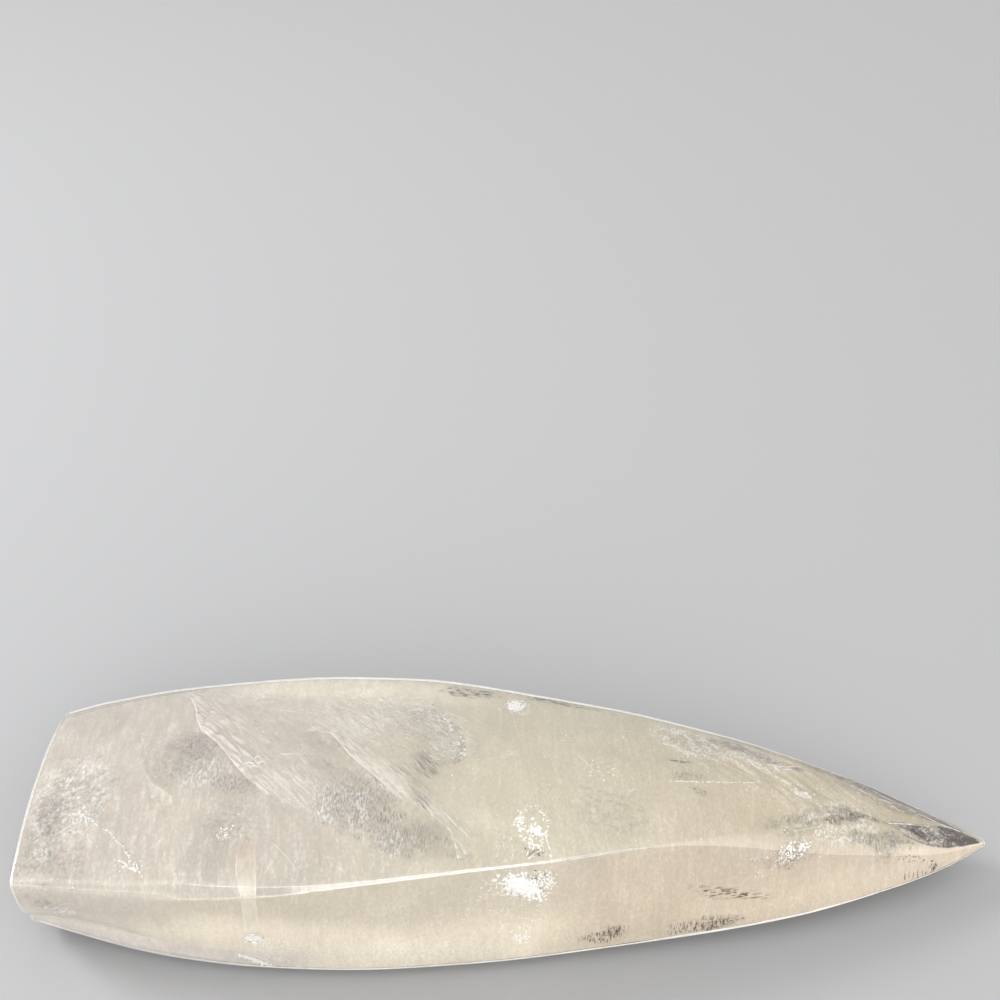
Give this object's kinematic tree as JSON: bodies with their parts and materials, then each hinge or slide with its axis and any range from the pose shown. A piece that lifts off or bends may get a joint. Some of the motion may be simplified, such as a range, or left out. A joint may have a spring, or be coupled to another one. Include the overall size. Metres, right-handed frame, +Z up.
{
  "type": "quartz crystal",
  "caption": "Milky quartz crystal cut and polished to a long flame-shaped point, lying on its side; flat cut base, crowned faces.",
  "frame": {"origin": "on the surface the crystal lies on, under the middle of its bounding box", "axes": "+X along the crystal from the cut base to the tip, +Z up, +Y across towards the back ridge"},
  "size_m": [0.353, 0.1185, 0.0611],
  "materials": {
    "milky_quartz": "polished"
  },
  "bodies": {
    "root": {"quartz_crystal": "milky_quartz"}
  },
  "joints": []
}
